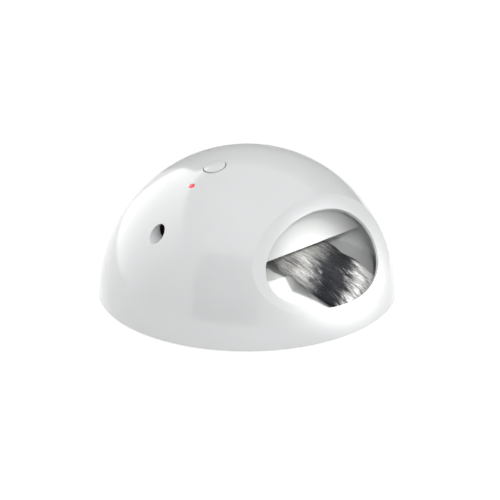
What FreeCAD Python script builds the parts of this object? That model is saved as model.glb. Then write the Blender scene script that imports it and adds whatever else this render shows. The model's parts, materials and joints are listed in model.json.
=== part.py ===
import FreeCAD, Part
import math
import os
import re
import Sketcher

# Automatic cat laser toy: a white dome on a flat base, with a paw opening on either side.
# Inside, a motor sweeps a fur tail round a central spindle and a small servo pans a laser pointer.
# Millimetres. Z is up and z = 0 is the underside of the rubber feet. The front, with the laser
# window, the lamp and the button, faces -Y, and the paw openings face +X and -X.

DOC = FreeCAD.newDocument("LaserToy")
SHEET = DOC.addObject("Spreadsheet::Sheet", "Sizes")
CENTRE = "(foot_drop - rim_height)"

SIZES = {
    # Dome
    "ball_radius": 90.0,
    "wall": 2.4,
    "rim_height": 5.4,
    "foot_drop": 1.3,
    "fit_gap": 0.3,
    # Paw openings: an oval mouth, and the wider oval where its dished rim meets the dome.
    # Each oval is drawn square to an axis that rises by its tilt, and sits above that axis by its shift.
    "mouth_tilt": 34.7,
    "mouth_half_width": 43.4,
    "mouth_half_height": 27.3,
    "mouth_shift": -2.8,
    "mouth_depth": 4.9,
    "dish_tilt": 26.5,
    "dish_half_width": 52.1,
    "dish_half_height": 34.3,
    "dish_shift": 9.7,
    # Features on the front meridian, as angles from straight up
    "button_lean": 16.5,
    "lamp_lean": 28.6,
    "button_radius": 6.3,
    "button_slot": 0.55,
    "button_rise": 0.9,
    "button_travel": 0.8,
    "button_flange": 1.4,
    "stem_radius": 2.0,
    "lamp_radius": 1.5,
    "lamp_hole_radius": 1.85,
    "lamp_length": 6.6,
    "lamp_sink": 0.5,
    "holder_radius": 3.4,
    "flange_reach": 8.2,
    "crown_radius": 36.0,
    "return_radius": 5.2,
    "return_wire": 0.6,
    "switch_radius": 3.2,
    "switch_height": 3.4,
    "plunger_radius": 1.6,
    "plunger_height": 0.9,
    "switch_board_width": 14.0,
    "stake_x": 11.0,
    "stake_radius": 1.8,
    "stake_pin_radius": 1.0,
    "board_thickness": 1.6,
    "switch_board_depth": 14.0,
    # Laser window
    "bore_radius": 4.85,
    "bore_wall": 1.8,
    "bore_depth": 6.3,
    "laser_height": 53.0,
    # Base
    "base_thickness": 2.4,
    "pad_thickness": 5.0,
    "pad_radius": 4.4,
    "boss_radius": 3.2,
    "boss_height": 9.0,
    "boss_azimuth": 14.0,
    "screw_inset": 4.0,
    "screw_radius": 1.2,
    "screw_length": 11.0,
    "head_radius": 2.6,
    "head_height": 1.8,
    "screw_slot": 0.6,
    "screw_slot_depth": 0.7,
    "seat_gap": 0.1,
    "foot_margin": 0.38,
    "foot_width": 3.4,
    "foot_span": 16.0,
    "foot_azimuth": 41.0,
    "foot_recess": 0.6,
    # Battery bay
    "cell_radius": 5.25,
    "cell_length": 44.5,
    "cell_gap": 0.35,
    "drum_wall": 1.8,
    "door_thickness": 1.2,
    "door_gap": 0.2,
    "door_lap": 1.5,
    "door_edge": 1.0,
    "tongue_thickness": 0.5,
    "door_travel": 12.0,
    "contact_thickness": 0.4,
    "spring_radius": 2.8,
    "spring_wire": 0.6,
    "spring_length": 3.0,
    "contact_height": 8.0,
    "grip_width": 1.2,
    "grip_pitch": 3.2,
    "grip_depth": 0.4,
    "nub_radius": 1.9,
    "nub_length": 0.8,
    # Mechanism housing
    "housing_half_width": 38.0,
    "housing_bottom": 33.5,
    "housing_wall": 2.0,
    "post_radius": 3.4,
    "post_x": 28.0,
    "post_stand": 6.0,
    "post_lead": 3.0,
    "post_pad": 3.0,
    "screw_sink": 0.4,
    # Spindle and tail rotor
    "spindle_radius": 4.0,
    "spindle_bore": 2.6,
    "running_gap": 0.05,
    "flange_radius": 7.6,
    "flange_thickness": 1.2,
    "washer_thickness": 0.8,
    "bush_wall": 1.2,
    "rotor_radius": 8.0,
    "neck_gap": 0.6,
    "socket_radius": 4.6,
    "socket_reach": 18.0,
    "stub_radius": 3.0,
    "stub_collar": 1.6,
    # Fur tail, as it lies at rest
    "tail_azimuth": 62.0,
    "tip_azimuth": 20.0,
    "tail_start": 20.1,
    "sweep_gap": 0.6,
    "tip_blunt": 1.0,
    "tail_half_width": 26.0,
    "tip_height": 9.0,
    "drum_clear": 0.8,
    # Gears
    "gear_module": 1.0,
    "tail_teeth": 36,
    "idler_teeth": 20,
    "pinion_teeth": 10,
    "gear_width": 4.0,
    "gear_lift": 1.2,
    "pan_teeth": 24,
    "servo_teeth": 12,
    "idler_bearing": 90.0,
    "servo_bearing": 45.0,
    "motor_radius": 12.0,
    "motor_length": 12.5,
    "motor_shaft_radius": 1.0,
    "pin_radius": 1.5,
    "bracket_thickness": 2.0,
    "bracket_clear": 2.3,
    "bracket_left": 25.0,
    "bracket_right": 31.0,
    "bracket_front": 8.5,
    "bracket_back": 41.0,
    "leg_radius": 2.5,
    # Laser carriage and its servo
    "barrel_radius": 3.0,
    "barrel_length": 16.0,
    "barrel_lead": 13.27,
    "lens_radius": 2.2,
    "lens_thickness": 1.2,
    "saddle_length": 9.0,
    "hub_radius": 4.5,
    "pan_post_radius": 2.0,
    "post_foot": 3.5,
    "servo_width": 11.0,
    "servo_length": 18.0,
    "servo_height": 13.0,
    "servo_foot": 8.0,
    "servo_clear": 0.6,
    "servo_shaft_radius": 1.2,
    # Control board in its two guides
    "board_inset": 3.3,
    "board_y": 5.0,
    "board_length": 50.0,
    "board_height": 22.0,
    "board_gap": 0.15,
    "guide_width": 5.0,
    "guide_length": 4.0,
    "guide_height": 7.0,
    "chip_height": 2.0,
    "chip_length": 12.0,
    "chip_width": 8.0,
    "capacitor_radius": 3.0,
    "capacitor_length": 8.0,
    "socket_height": 5.0,
    "socket_length": 8.0,
    "socket_width": 6.0,
}


def fill_sheet():
    for row, (name, number) in enumerate(SIZES.items(), start=1):
        SHEET.set("A%d" % row, name)
        SHEET.set("B%d" % row, str(number))
        SHEET.setAlias("B%d" % row, name)
    DOC.recompute()


def formula(text):
    """Turns "wall + fit_gap" into an expression that reads the sheet."""
    return re.sub(r"[a-z]+(?:_[a-z]+)+|\bwall\b", lambda m: "Sizes." + m.group(0), str(text))


def size(name):
    return float(SHEET.get(name))


def bind(thing, **formulas):
    for prop, text in formulas.items():
        thing.setExpression(prop, formula(text))


def place(thing, x="0", y="0", z="0", axis=(0, 0, 1), angle=None):
    """Sets where a primitive stands and how it is turned, each number as a formula."""
    for key, text in zip("xyz", (x, y, z)):
        thing.setExpression("Placement.Base." + key, formula(text))
    if angle is not None:
        for key, part in zip("xyz", axis):
            thing.setExpression("Placement.Rotation.Axis." + key, formula(part))
        thing.setExpression("Placement.Rotation.Angle", formula(angle))
    return thing


def cylinder(name, radius, height, **where):
    made = DOC.addObject("Part::Cylinder", name)
    bind(made, Radius=radius, Height=height)
    return place(made, **where)


def ball(name, radius):
    """A ball about the dome's centre, with its seam at the back."""
    made = DOC.addObject("Part::Sphere", name)
    bind(made, Radius=radius)
    return place(made, z=CENTRE, angle="90")


def leaning(lean, distance, x="0"):
    """Where a piece stands on an axis that leans from the ball's centre towards the front."""
    return {
        "x": x,
        "y": "-(%s) * sin(%s * 1 deg)" % (distance, lean),
        "z": "%s + (%s) * cos(%s * 1 deg)" % (CENTRE, distance, lean),
        "axis": (1, 0, 0),
        "angle": lean,
    }


def tube(name, outside, inside, height, **where):
    """A sleeve, open at both ends."""
    return cut(name, cylinder(name + "_outside", outside, height, **where),
               cylinder(name + "_inside", inside, height, **where))


def block(name, length, width, height, **where):
    made = DOC.addObject("Part::Box", name)
    bind(made, Length=length, Width=width, Height=height)
    return place(made, **where)


def cut(name, base, *tools):
    made = DOC.addObject("Part::Cut", name)
    made.Base = base
    made.Tool = tools[0] if len(tools) == 1 else fuse(name + "_tools", *tools)
    return made


def fuse(name, *shapes):
    made = DOC.addObject("Part::MultiFuse", name)
    made.Shapes = list(shapes)
    return made


def common(name, *shapes):
    made = DOC.addObject("Part::MultiCommon", name)
    made.Shapes = list(shapes)
    return made


def plane_of(body, role):
    return next(o for o in body.Origin.OriginFeatures if o.Role == role)


def sketch_outline(body, name, role, points):
    """A closed outline of straight edges on one of the body's planes, each corner set by formulas."""
    sketch = body.newObject("Sketcher::SketchObject", name)
    sketch.AttachmentSupport = [(plane_of(body, role), "")]
    sketch.MapMode = "FlatFace"
    count = len(points)
    guess = [FreeCAD.Vector(number_of(u), number_of(v), 0) for u, v in points]
    for i in range(count):
        sketch.addGeometry(Part.LineSegment(guess[i], guess[(i + 1) % count]), False)
    for i in range(count):
        sketch.addConstraint(Sketcher.Constraint("Coincident", i, 2, (i + 1) % count, 1))
    for i, (u, v) in enumerate(points):
        for kind, text, number in (("DistanceX", u, guess[i].x), ("DistanceY", v, guess[i].y)):
            index = sketch.addConstraint(Sketcher.Constraint(kind, -1, 1, i, 1, number))
            sketch.setExpression("Constraints[%d]" % index, formula(text))
    return sketch


def number_of(text):
    """The present value of a formula, worked out in a spare cell of the sheet."""
    SHEET.set("D1", "=" + str(text))
    SHEET.recompute()
    return float(SHEET.get("D1"))


def turned(name, points, **where):
    """A body turned about Z from its half outline of (radius, height) corners."""
    body = DOC.addObject("PartDesign::Body", name)
    sketch = sketch_outline(body, name + "_outline", "XZ_Plane", points)
    DOC.recompute()
    turn = body.newObject("PartDesign::Revolution", name + "_turn")
    turn.Profile = sketch
    turn.ReferenceAxis = (sketch, ["V_Axis"])
    turn.Angle = 360.0
    sketch.Visibility = False
    return place(body, **where)


def padded(name, points, height, **where):
    """A body raised from an outline of (x, y) corners."""
    body = DOC.addObject("PartDesign::Body", name)
    sketch = sketch_outline(body, name + "_outline", "XY_Plane", points)
    DOC.recompute()
    pad = body.newObject("PartDesign::Pad", name + "_pad")
    pad.Profile = sketch
    bind(pad, Length=height)
    return place(body, **where)


def ball_centre():
    return FreeCAD.Vector(0, 0, size("foot_drop") - size("rim_height"))


def tilted_point(u, v, n, tilt):
    """A point given across, up and along an axis that rises from +X by tilt, from the ball's centre."""
    x = n * math.cos(tilt) - v * math.sin(tilt)
    z = n * math.sin(tilt) + v * math.cos(tilt)
    return FreeCAD.Vector(x, u, z)


def oval(kind, distance_at, grow=1.0, seam=0.0, steps=36):
    """Points round the mouth or dish oval, with distance_at(u, v) along its axis for each."""
    tilt = math.radians(size(kind + "_tilt"))
    points = []
    for step in range(steps):
        turn = seam + 2 * math.pi * step / steps
        u = grow * size(kind + "_half_width") * math.cos(turn)
        v = size(kind + "_shift") + grow * size(kind + "_half_height") * math.sin(turn)
        points.append(tilted_point(u, v, distance_at(u, v), tilt))
    return points


def closed_wire(points):
    curve = Part.BSplineCurve()
    curve.interpolate(Points=points, PeriodicFlag=True)
    return Part.Wire([curve.toShape()])


def dish_solid(scale, inward, root, narrow, seam):
    """What is cut away at a paw opening: a shaft to the mouth, then the dish that spreads to the dome."""
    dome = size("ball_radius")
    rim = dome - size("mouth_depth")
    mouth = oval("mouth", lambda u, v: math.sqrt(rim ** 2 - u ** 2 - v ** 2), seam=seam)
    crease = oval("dish", lambda u, v: math.sqrt(dome ** 2 - u ** 2 - v ** 2), seam=seam)
    near = [m - (c - m) * inward for m, c in zip(mouth, crease)]
    beyond = [m + (c - m) * 1.6 for m, c in zip(mouth, crease)]
    shaft = oval("mouth", lambda u, v: root * dome, narrow, seam)
    far = oval("mouth", lambda u, v: 1.5 * dome, 2.0, seam)
    rings = [[p * scale for p in ring] for ring in (shaft, near, beyond, far)]
    return Part.makeLoft([closed_wire(ring) for ring in rings], True, True)


def dish_tool(name, solid, mirrored):
    if mirrored:
        solid = solid.mirror(FreeCAD.Vector(), FreeCAD.Vector(1, 0, 0))
    made = DOC.addObject("Part::Feature", name)
    made.Shape = solid
    made.Placement = FreeCAD.Placement(ball_centre(), FreeCAD.Rotation())
    return made


def dome_hull():
    """The dome's wall with its two dished openings and its base bosses, cut off flat at the rim."""
    thin = 1 - size("wall") / size("ball_radius")
    mouth = dish_solid(1.0, 0.0, 0.3, 1.0, 0.0)
    behind = dish_solid(thin, 0.8, 0.45, 0.8, 1.7)
    mouths = [dish_tool("mouth_right", mouth, False), dish_tool("mouth_left", mouth, True)]
    backs = [dish_tool("back_right", behind, False), dish_tool("back_left", behind, True)]
    half = "2 * ball_radius"
    above = block("above_rim", "2 * " + half, "2 * " + half, half, x="-" + half, y="-" + half, z="foot_drop")
    outside = common("dome_outside", cut("dome_cut", ball("outer_ball", "ball_radius"), *mouths), above)
    bosses = [round_at("base_boss%d" % i, "boss_radius", "boss_height", azimuth, PAD_CIRCLE, PAD_TOP)
              for i, azimuth in enumerate(base_boss_places())]
    cavity = cut("dome_cavity", ball("inner_ball", "ball_radius - wall"), *backs, *bosses)
    return cut("dome_hull", outside, cavity)


def base_boss_places():
    """Azimuths of the four base screws, two under the lip of each paw opening."""
    return [("%d + %d * boss_azimuth" % (turn, side)) for turn in (0, 180) for side in (-1, 1)]


def round_at(name, radius, height, azimuth, circle, z):
    """A post on a circle about Z, placed by its azimuth."""
    return cylinder(name, radius, height, x="%s * cos((%s) * 1 deg)" % (circle, azimuth),
                    y="%s * sin((%s) * 1 deg)" % (circle, azimuth), z=z)


def post_places():
    """The four housing posts: two beside the laser and two behind the motor's bracket."""
    rows = ("post_lead - %s" % PAN_SETBACK, "bracket_back + post_stand")
    return [(x, y) for x in ("-post_x", "post_x") for y in rows]


BASE_RADIUS = "(sqrt((ball_radius - wall) ^ 2 - (rim_height + pad_thickness) ^ 2) - fit_gap)"
PAD_CIRCLE = "(%s - screw_inset)" % BASE_RADIUS
FOOT_CIRCLE = "(%s - foot_margin - 0.5 * foot_width)" % BASE_RADIUS
PAD_TOP = "(foot_drop + pad_thickness)"
HOUSING_FLOOR = "(housing_bottom + housing_wall)"
POST_FOOT = "(housing_bottom + housing_wall + post_pad)"
BORE_END = "(sqrt(ball_radius ^ 2 - (laser_height - %s) ^ 2) - bore_depth)" % CENTRE
PAN_SETBACK = "(%s - barrel_lead)" % BORE_END
BOARD_TOP = "(ball_radius - switch_board_depth)"
BOARD_X = "(board_inset + housing_wall - housing_half_width)"


def dome_shell():
    inside = ball("boss_ball", "ball_radius - 0.5 * wall")
    solids = []
    holes = []
    for i, azimuth in enumerate(base_boss_places()):
        holes.append(round_at("base_pilot%d" % i, "screw_radius + running_gap", "screw_length + fit_gap",
                              azimuth, PAD_CIRCLE, "foot_drop"))
    for i, (x, y) in enumerate(post_places()):
        solids.append(cylinder("housing_post%d" % i, "post_radius", "ball_radius", x=x, y=y, z=POST_FOOT))
        holes.append(cylinder("post_pilot%d" % i, "screw_radius + running_gap", "screw_length + fit_gap",
                              x=x, y=y, z="housing_bottom + screw_sink"))
    for i, side in enumerate(("-", "")):
        x = side + "stake_x"
        solids.append(cylinder("switch_stake%d" % i, "stake_radius", "ball_radius",
                               **leaning("button_lean", BOARD_TOP + " + 0.1", x)))
        solids.append(cylinder("switch_pin%d" % i, "stake_pin_radius", "ball_radius",
                               **leaning("button_lean", BOARD_TOP + " - board_thickness - 0.4", x)))
    bosses = common("dome_bosses", fuse("dome_boss_stock", *solids), inside)
    stock = cylinder("sleeve_stock", "bore_radius + bore_wall", "ball_radius", y="-" + BORE_END,
                     z="laser_height", axis=(1, 0, 0), angle="90")
    sleeve = common("bore_sleeve", stock, ball("sleeve_ball", "ball_radius"))
    holes.append(cylinder("bore", "bore_radius", "2 * ball_radius", y="-" + BORE_END + " + 5",
                          z="laser_height", axis=(1, 0, 0), angle="90"))
    holes.append(cylinder("button_hole", "button_radius + button_slot", "20",
                          **leaning("button_lean", "ball_radius - 10")))
    holes.append(cylinder("lamp_hole", "lamp_hole_radius", "20", **leaning("lamp_lean", "ball_radius - 10")))
    return cut("dome_shell", fuse("dome_solid", dome_hull(), bosses, sleeve), *holes)


BAY_WIDTH = "(6 * cell_radius + 4 * cell_gap)"
BAY_LENGTH = "(cell_length + spring_length + 2 * contact_thickness + 2 * cell_gap)"
BAY_FLOOR = "(foot_drop + door_thickness + door_gap)"
BAY_TOP = "(%s + 2 * cell_radius + 2 * cell_gap)" % BAY_FLOOR
DRUM_TOP = "(%s + drum_wall)" % BAY_TOP
DRUM_RADIUS = "(0.5 * sqrt(%s ^ 2 + %s ^ 2) + drum_wall + fit_gap)" % (BAY_LENGTH, BAY_WIDTH)
DOOR_WIDTH = "(%s + 2 * door_edge)" % BAY_WIDTH
DOOR_LENGTH = "(%s + 2 * door_edge)" % BAY_LENGTH


def centred_block(name, width, length, height, x="0", y="0", z="0"):
    """A block centred on x and y that stands on z."""
    return block(name, width, length, height, x="%s - 0.5 * (%s)" % (x, width),
                 y="%s - 0.5 * (%s)" % (y, length), z=z)


def foot_ring(name, grow, height, azimuth):
    """One curved pad: a sector of a ring under the rim."""
    wide = "foot_span * 1 deg + 2 * (%s) / %s * 1 rad" % (grow, FOOT_CIRCLE)
    outer = cylinder(name + "_outer", "%s + 0.5 * foot_width + %s" % (FOOT_CIRCLE, grow), height,
                     angle="%s - 0.5 * (%s)" % (azimuth, wide))
    bind(outer, Angle=wide)
    inner = cylinder(name + "_inner", "%s - 0.5 * foot_width - %s" % (FOOT_CIRCLE, grow), height)
    return cut(name, outer, inner)


def foot_azimuths():
    return ["-90 deg - foot_azimuth * 1 deg", "-90 deg + foot_azimuth * 1 deg",
            "90 deg - foot_azimuth * 1 deg", "90 deg + foot_azimuth * 1 deg"]


def rubber_feet():
    return fuse("rubber_feet", *[foot_ring("foot%d" % i, "0", "foot_drop + foot_recess", azimuth)
                                 for i, azimuth in enumerate(foot_azimuths())])


def base_plate():
    """The flat floor, with the battery drum, screw pads, foot recesses and the slot for the battery door."""
    solids = [cylinder("base_disc", BASE_RADIUS, "base_thickness", z="foot_drop"),
              cylinder("base_drum", DRUM_RADIUS, DRUM_TOP + " - foot_drop", z="foot_drop")]
    holes = [centred_block("bay", BAY_WIDTH, BAY_LENGTH, BAY_TOP + " - foot_drop + 1", z="foot_drop - 1"),
             cylinder("lead_hole", "spindle_bore", "2 * drum_wall", z=BAY_TOP + " - 0.5 * drum_wall")]
    run = "(%s + door_travel + 2 * door_gap)" % DOOR_LENGTH
    middle = "0.5 * door_travel"
    holes.append(centred_block("door_slot", DOOR_WIDTH + " + 2 * door_gap", run,
                               "door_thickness + door_gap + 1", y=middle, z="foot_drop - 1"))
    holes.append(centred_block("tongue_slot", DOOR_WIDTH + " + 2 * door_lap + 2 * door_gap", run,
                               "tongue_thickness + 2 * door_gap", y=middle,
                               z="foot_drop + door_thickness - tongue_thickness - door_gap"))
    for i, azimuth in enumerate(base_boss_places()):
        solids.append(round_at("base_pad%d" % i, "pad_radius", "pad_thickness", azimuth, PAD_CIRCLE,
                               "foot_drop"))
        holes.append(round_at("base_screw_hole%d" % i, "screw_radius + fit_gap", "2 * pad_thickness", azimuth,
                              PAD_CIRCLE, "foot_drop - 1"))
        holes.append(round_at("base_head_hole%d" % i, "head_radius + fit_gap", "head_height + screw_sink + 1",
                              azimuth, PAD_CIRCLE, "foot_drop - 1"))
    for i, azimuth in enumerate(foot_azimuths()):
        holes.append(foot_ring("foot_recess%d" % i, "seat_gap", "foot_drop + foot_recess", azimuth))
    within = cylinder("base_limit", BASE_RADIUS, "ball_radius")
    return cut("base_plate", common("base_stock", fuse("base_pieces", *solids), within), *holes)


def battery_door():
    plate = centred_block("door_plate", DOOR_WIDTH, DOOR_LENGTH, "door_thickness", z="foot_drop")
    tongues = centred_block("door_tongues", DOOR_WIDTH + " + 2 * door_lap", DOOR_LENGTH + " - 2 * door_edge",
                            "tongue_thickness", z="foot_drop + door_thickness - tongue_thickness")
    grips = [centred_block("door_grip%d" % i, "14", "grip_width", "2 * grip_depth", y="%d * grip_pitch" % i,
                           z="foot_drop - grip_depth") for i in (-1, 0, 1)]
    return cut("battery_door", fuse("door_stock", plate, tongues), *grips)


BAY_END = "(0.5 * %s)" % BAY_LENGTH
CELL_START = "(contact_thickness + spring_length + 3 * seat_gap - %s)" % BAY_END


def cell_places():
    return ["%d * (2 * cell_radius + cell_gap)" % i for i in (-1, 0, 1)]


def along_y(name, radius, length, x, y, z):
    """A round piece that lies along Y, from y towards the back."""
    return cylinder(name, radius, length, x=x, y=y, z=z, axis=(1, 0, 0), angle="-90")


CELL_HEIGHT = "(%s + cell_gap + cell_radius)" % BAY_FLOOR


def battery_cells():
    solids = []
    for i, x in enumerate(cell_places()):
        can = along_y("cell_can%d" % i, "cell_radius", "cell_length - nub_length", x, CELL_START, CELL_HEIGHT)
        nub = along_y("cell_nub%d" % i, "nub_radius", "cell_length", x, CELL_START, CELL_HEIGHT)
        solids.append(fuse("cell%d" % i, can, nub))
    return fuse("battery_cells", *solids)


def cell_springs():
    """Each contact spring, drawn as the sleeve that its turns fill."""
    solids = []
    for i, x in enumerate(cell_places()):
        start = "contact_thickness + 2 * seat_gap - " + BAY_END
        outside = along_y("spring_outside%d" % i, "spring_radius", "spring_length", x, start, CELL_HEIGHT)
        inside = along_y("spring_inside%d" % i, "spring_radius - spring_wire", "spring_length", x, start,
                         CELL_HEIGHT)
        solids.append(cut("cell_spring%d" % i, outside, inside))
    return fuse("cell_springs", *solids)


def cell_contacts():
    plates = [centred_block("contact%d" % i, BAY_WIDTH + " - 2", "contact_thickness", "contact_height",
                            y="%d * (%s - 0.5 * contact_thickness - seat_gap)" % (side, BAY_END),
                            z=CELL_HEIGHT + " - 0.5 * contact_height")
              for i, side in enumerate((-1, 1))]
    return fuse("cell_contacts", *plates)


def screw(name, x, y, z):
    """A pan head screw that points up, its head's underside face at z."""
    head = cylinder(name + "_head", "head_radius", "head_height", x=x, y=y, z=z)
    shank = cylinder(name + "_shank", "screw_radius", "screw_length", x=x, y=y, z=z)
    slot = centred_block(name + "_slot", "2 * head_radius", "screw_slot", "2 * screw_slot_depth", x=x, y=y,
                         z="%s - screw_slot_depth" % z)
    return cut(name, fuse(name + "_stock", head, shank), slot)


def base_screws():
    places = [("%s * cos((%s) * 1 deg)" % (PAD_CIRCLE, a), "%s * sin((%s) * 1 deg)" % (PAD_CIRCLE, a))
              for a in base_boss_places()]
    return fuse("base_screws", *[screw("base_screw%d" % i, x, y, "foot_drop + screw_sink - seat_gap")
                                 for i, (x, y) in enumerate(places)])


def housing_screws():
    height = "housing_bottom + screw_sink - seat_gap"
    return fuse("housing_screws", *[screw("housing_screw%d" % i, x, y, height)
                                    for i, (x, y) in enumerate(post_places())])


def spindle():
    """The fixed hollow column that the tail turns on, with the leads up its bore."""
    top = BRACKET_TOP
    return turned("spindle", [("spindle_bore", DRUM_TOP), ("flange_radius", DRUM_TOP),
                              ("flange_radius", DRUM_TOP + " + flange_thickness"),
                              ("spindle_radius", DRUM_TOP + " + flange_thickness"),
                              ("spindle_radius", top), ("spindle_bore", top)])


ROTOR_FOOT = "(%s + flange_thickness + washer_thickness + 2 * running_gap)" % DRUM_TOP
GEAR_BOTTOM = "(%s + gear_lift)" % HOUSING_FLOOR
GEAR_TOP = "(%s + gear_width)" % GEAR_BOTTOM
BRACKET_HEIGHT = "(%s + bracket_clear)" % GEAR_TOP
BRACKET_TOP = "(%s + bracket_thickness)" % BRACKET_HEIGHT


def thrust_washer():
    return tube("thrust_washer", "flange_radius", "spindle_radius + running_gap", "washer_thickness",
                z=DRUM_TOP + " + flange_thickness + running_gap")


def rotor_bush():
    return tube("rotor_bush", "spindle_radius + running_gap + bush_wall", "spindle_radius + running_gap",
                "%s - %s" % (GEAR_TOP, ROTOR_FOOT), z=ROTOR_FOOT)


TAIL_AXIS = ("-sin(tail_azimuth * 1 deg)", "cos(tail_azimuth * 1 deg)", "0")
SOCKET_HEIGHT = "(0.5 * (%s + housing_bottom))" % DRUM_TOP
SWEEP_RADIUS = "(%s - pad_radius - sweep_gap)" % PAD_CIRCLE


def along_tail(name, radius, length, start):
    """A round piece on the line of the tail's socket, from start outwards."""
    return cylinder(name, radius, length, x="(%s) * cos(tail_azimuth * 1 deg)" % start,
                    y="(%s) * sin(tail_azimuth * 1 deg)" % start, z=SOCKET_HEIGHT, axis=TAIL_AXIS, angle="90")


def tail_rotor():
    """The hub round the bush, with a socket arm that holds the tail's stub."""
    hub = cylinder("rotor_hub", "rotor_radius", "%s - %s" % (GEAR_BOTTOM, ROTOR_FOOT), z=ROTOR_FOOT)
    arm = along_tail("rotor_arm", "socket_radius", "socket_reach", "0")
    bore = cylinder("rotor_bore", "spindle_radius + 2 * running_gap + bush_wall", "ball_radius",
                    z=ROTOR_FOOT + " - 1")
    pocket = along_tail("rotor_pocket", "stub_radius + running_gap", "socket_reach", "rotor_radius + 2")
    return cut("tail_rotor", fuse("rotor_stock", hub, arm), bore, pocket)


def tail_stub():
    """The plug at the tail's root, pushed into the rotor's socket."""
    plug = along_tail("stub_plug", "stub_radius", "socket_reach - rotor_radius - 2", "rotor_radius + 2.1")
    collar = along_tail("stub_collar", "socket_radius + 0.4", "stub_collar", "socket_reach + 0.1")
    return fuse("tail_stub", plug, collar)


def tail_station(share):
    """Centre, direction, half width, bottom and top of the tail at a share of its length."""
    far = number_of(SWEEP_RADIUS) - size("tip_blunt")

    def centre(at):
        reach = size("tail_start") + (far - size("tail_start")) * at
        azimuth = math.radians(size("tail_azimuth") + (size("tip_azimuth") - size("tail_azimuth")) * at)
        return FreeCAD.Vector(reach * math.cos(azimuth), reach * math.sin(azimuth), 0)

    ahead = (centre(share + 0.01) - centre(share - 0.01)).normalize()
    if share == 0:
        ahead = centre(0).normalize()
    reach = centre(share).Length
    drum_top = number_of(DRUM_TOP) + size("drum_clear")
    floor = size("foot_drop") + size("base_thickness") + size("fit_gap") + size("seat_gap")
    off_drum = min(1.0, max(0.0, (reach - number_of(DRUM_RADIUS) - 9.0) / 6.0))
    bottom = drum_top + (floor - drum_top) * off_drum
    swell = math.sin(math.pi * min(0.62, 0.12 + 0.62 * share)) ** 0.7
    half_width = size("tail_half_width") * swell
    top_root = size("housing_bottom") - size("fit_gap") - 0.4
    droop = max(0.0, share - 0.2) / 0.8
    top = top_root + (floor + size("tip_height") - top_root) * droop ** 1.1
    return centre(share), ahead, half_width, bottom, top


def tail_section(share):
    """A rounded section of the tail: a flat belly, round flanks and a crowned back."""
    centre, ahead, half_width, bottom, top = tail_station(share)
    across = FreeCAD.Vector(-ahead.y, ahead.x, 0)
    up = FreeCAD.Vector(0, 0, 1)
    middle = bottom + 0.45 * (top - bottom)

    def at(u, z):
        return centre + across * u + up * z

    belly = 0.7 * half_width
    crown = 0.72 * half_width
    high = bottom + 0.86 * (top - bottom)
    low = bottom + 0.14 * (top - bottom)
    edges = [Part.LineSegment(at(-belly, bottom), at(belly, bottom)),
             Part.Arc(at(belly, bottom), at(0.91 * half_width, low), at(half_width, middle)),
             Part.Arc(at(half_width, middle), at(0.92 * half_width, 0.5 * (middle + high)), at(crown, high)),
             Part.Arc(at(crown, high), at(0, top), at(-crown, high)),
             Part.Arc(at(-crown, high), at(-0.92 * half_width, 0.5 * (middle + high)),
                      at(-half_width, middle)),
             Part.Arc(at(-half_width, middle), at(-0.91 * half_width, low), at(-belly, bottom))]
    return Part.Wire([edge.toShape() for edge in edges])


def fur_tail():
    """The room that the fur tail takes, from its stub over the drum and down to the floor.

    It is cut off round at the circle that clears the screw pads as the tail sweeps past them.
    """
    shares = (0.0, 0.2, 0.36, 0.48, 0.6, 0.75, 0.9, 1.0)
    loft = DOC.addObject("Part::Feature", "tail_loft")
    loft.Shape = Part.makeLoft([tail_section(share) for share in shares], True, True)
    return common("fur_tail", loft, cylinder("tail_sweep", SWEEP_RADIUS, "ball_radius"))


def gear_solid(teeth, thickness, bore, first_tooth):
    """A spur gear with straight-sided teeth that are thin enough to run with a backlash."""
    module = size("gear_module")
    pitch = 0.5 * module * teeth
    corners = []
    for tooth in range(teeth):
        middle = math.radians(first_tooth) + 2 * math.pi * tooth / teeth
        for reach, share in ((-1.15, -0.36), (0.85, -0.12), (0.85, 0.12), (-1.15, 0.36)):
            turn = middle + share * 2 * math.pi / teeth
            radius = pitch + reach * module
            corners.append(FreeCAD.Vector(radius * math.cos(turn), radius * math.sin(turn), 0))
    wheel = Part.Face(Part.makePolygon(corners + corners[:1])).extrude(FreeCAD.Vector(0, 0, thickness))
    return wheel.cut(Part.makeCylinder(bore, 3 * thickness, FreeCAD.Vector(0, 0, -thickness)))


def gear(name, teeth_name, bore, first_tooth, x, y):
    """A gear wheel in the train, on its own axis."""
    made = DOC.addObject("Part::Feature", name)
    made.Shape = gear_solid(int(size(teeth_name)), size("gear_width"), bore, first_tooth)
    return place(made, x=x, y=y, z=GEAR_BOTTOM)


IDLER_X = "(0.5 * gear_module * (tail_teeth + idler_teeth) * cos(idler_bearing * 1 deg))"
IDLER_Y = "(0.5 * gear_module * (tail_teeth + idler_teeth) * sin(idler_bearing * 1 deg))"
MOTOR_X = "(%s + 0.5 * gear_module * (idler_teeth + pinion_teeth))" % IDLER_X
PAN_REACH = "(0.5 * gear_module * (pan_teeth + servo_teeth))"
SERVO_X = "(%s * cos(servo_bearing * 1 deg))" % PAN_REACH
SERVO_Y = "(%s * sin(servo_bearing * 1 deg) - %s)" % (PAN_REACH, PAN_SETBACK)


def tail_gear():
    bore = size("spindle_radius") + 2 * size("running_gap") + size("bush_wall")
    return gear("tail_gear", "tail_teeth", bore, size("idler_bearing"), "0", "0")


def idler_gear():
    gap = size("idler_bearing") + 180 + 180 / size("idler_teeth")
    return gear("idler_gear", "idler_teeth", size("pin_radius") + size("running_gap"), gap, IDLER_X, IDLER_Y)


def motor_pinion():
    return gear("motor_pinion", "pinion_teeth", size("motor_shaft_radius") + size("running_gap"), 180,
                MOTOR_X, IDLER_Y)


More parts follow.
